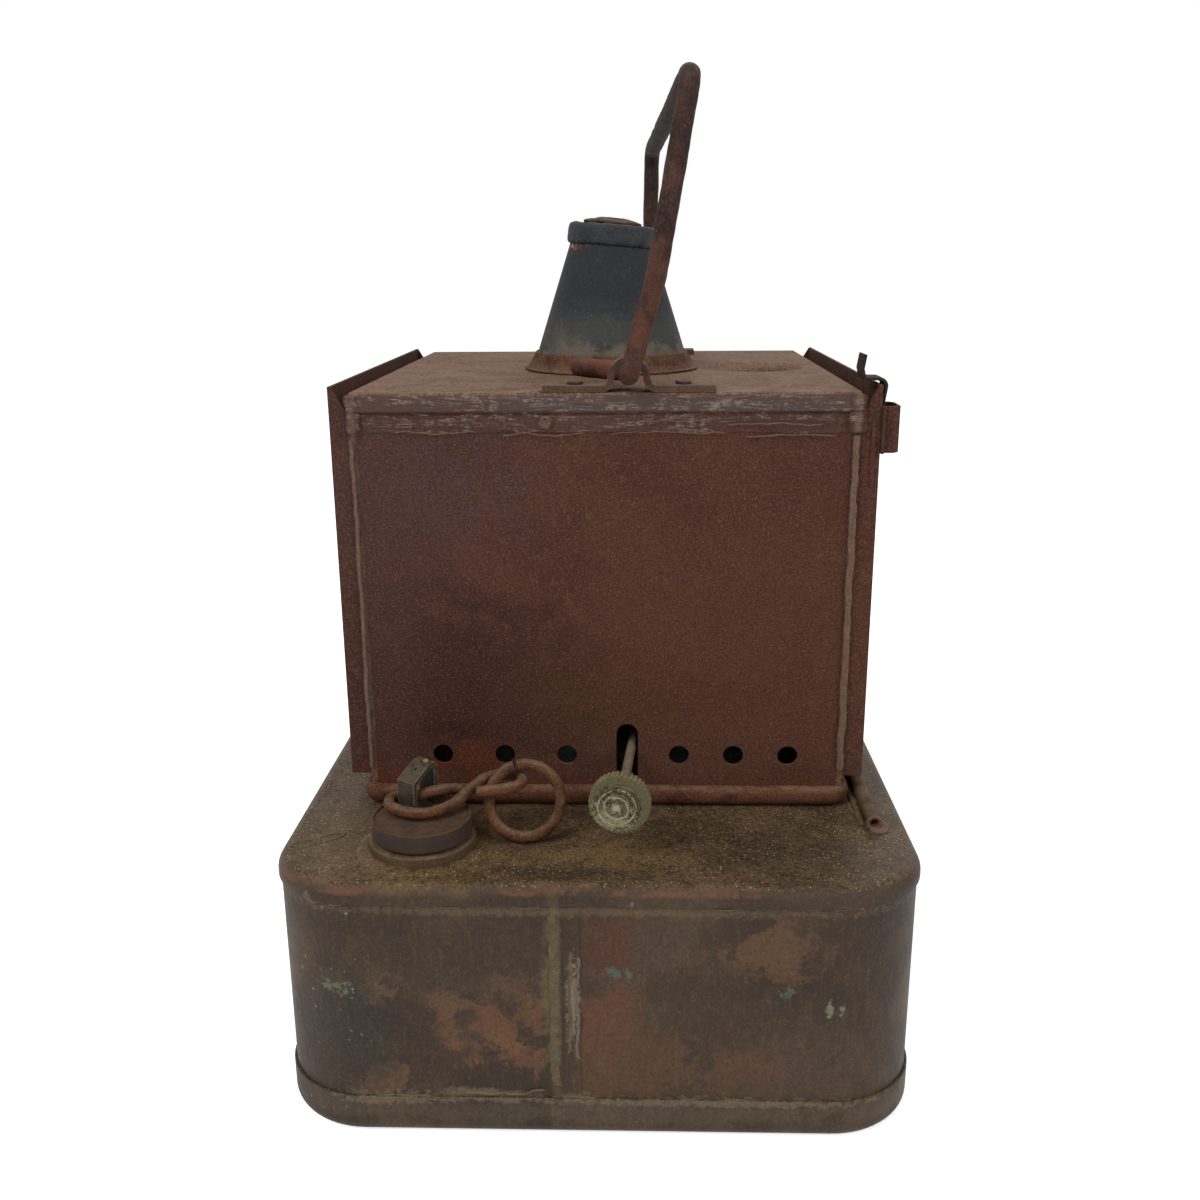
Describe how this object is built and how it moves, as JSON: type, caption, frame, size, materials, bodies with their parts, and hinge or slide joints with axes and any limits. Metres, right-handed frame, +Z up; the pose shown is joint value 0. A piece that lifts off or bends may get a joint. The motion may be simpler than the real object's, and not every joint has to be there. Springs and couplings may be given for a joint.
{
  "type": "railway signal lamp",
  "caption": "Oil-burning railway signal lamp: iron case with chimney, carrying bail and bullseye lens, hinged on a copper tank with filler cap and wick winder.",
  "frame": {"origin": "centre of the tank's base, on the surface that it stands on", "axes": "+Z up, +Y towards the lens (front), +X to the hinge side; the winder knob and the filler cap are at the rear, -Y"},
  "size_m": [0.203, 0.242, 0.3211],
  "materials": {
    "tank_copper": "dark brown copper patina with verdigris specks",
    "filler_brass": "dusty dark brass, worn bright along edges",
    "washer": "oiled, dark",
    "rusty_wire": "red-brown rust",
    "burner_brass": "tarnished",
    "wick_cotton": "woven cotton, charred tip",
    "winder_brass": "pale green patina, worn edge",
    "hinge_iron": "rust with solder smears",
    "case_iron": "deep red-brown granular rust",
    "lid_iron": "dusty brown rust",
    "clip_steel": "darkened spring steel with rust",
    "chimney_iron": "slate-grey, rust at the foot and rim",
    "bracket_iron": "dusty grey-brown rust",
    "bail_iron": "brown-red rust, orange where worn",
    "lens_ring_brass": "tarnished",
    "lens_glass": "clear, thick"
  },
  "bodies": {
    "fount": {"tank_wall": "tank_copper", "tank_top": "tank_copper", "tank_bottom": "tank_copper", "filler_boss": "filler_brass", "burner_collar": "burner_brass", "burner_base": "burner_brass", "wick_tube": "burner_brass", "winder_bracket": "burner_brass", "burner_shell": "burner_brass", "burner_dome": "burner_brass", "hinge_tubes": "hinge_iron", "hinge_pin": "hinge_iron"},
    "case": {"case_knuckles": "hinge_iron", "base_bead": "case_iron", "rear_wall": "case_iron", "front_wall": "case_iron", "left_wall": "case_iron", "right_wall": "case_iron", "case_lid": "lid_iron", "left_pocket": "case_iron", "right_pocket": "case_iron", "clip_keeper": "case_iron", "chimney_collar": "chimney_iron", "chimney_cone": "chimney_iron", "chimney_rim": "chimney_iron", "chimney_baffle": "chimney_iron", "rear_bracket": "bracket_iron", "front_bracket": "bracket_iron", "bracket_rivets": "bracket_iron", "lens_ring": "lens_ring_brass", "lens_packing": "washer", "lens": "lens_glass", "lens_ring_rivets": "lens_ring_brass"},
    "bail": {"bail_handle": "bail_iron"},
    "clip": {"spring_clip": "clip_steel"},
    "winder": {"winder_spindle": "winder_brass", "winder_wheels": "burner_brass", "winder_knob": "winder_brass"},
    "wick": {"wick": "wick_cotton"},
    "seal": {"cap_washer": "washer"},
    "cap": {"filler_cap": "filler_brass", "cap_lug": "filler_brass"},
    "link": {"cap_link": "rusty_wire"},
    "ring": {"split_ring": "rusty_wire"}
  },
  "joints": [
    {"name": "case_tilt", "type": "hinge", "parent": "fount", "child": "case", "pos_m": [0.08945, 0, 0.0895], "axis": [0, 1, 0], "range_deg": [0, 100]},
    {"name": "bail_swing", "type": "hinge", "parent": "case", "child": "bail", "pos_m": [0.0097, 0, 0.2314], "axis": [0, 1, 0], "range_deg": [-5, 70]},
    {"name": "clip_slide", "type": "slide", "parent": "case", "child": "clip", "axis": [0, 0, 1], "range_m": [0, 0.03]},
    {"name": "winder_turn", "type": "hinge", "parent": "fount", "child": "winder", "pos_m": [0.0104, -0.0639, 0.1073], "axis": [0.0767, 0.9971, 0], "range_deg": [-110, 110]},
    {"name": "wick_feed", "type": "slide", "parent": "fount", "child": "wick", "axis": [0, 0, 1], "range_m": [-0.0125, 0.0125]},
    {"name": "cap_lift", "type": "slide", "parent": "fount", "child": "seal", "axis": [0, 0, 1], "range_m": [0, 0.025]},
    {"name": "cap_turn", "type": "hinge", "parent": "seal", "child": "cap", "pos_m": [-0.0555, -0.0942, 0.095], "axis": [0, 0, 1], "range_deg": [-75, 8]},
    {"name": "link_swing", "type": "hinge", "parent": "cap", "child": "link", "pos_m": [-0.0663, -0.0905, 0.09955], "axis": [0, -1, 0], "range_deg": [0, 12]},
    {"name": "ring_swing", "type": "hinge", "parent": "link", "child": "ring", "pos_m": [-0.03421, -0.08511, 0.1029], "axis": [-0.342, -0.4266, -0.8373], "range_deg": [0, 50]}
  ],
  "couplings": [
    {"joint": "wick_feed", "follows": "winder_turn", "m_per_rad": 0.0064}
  ]
}
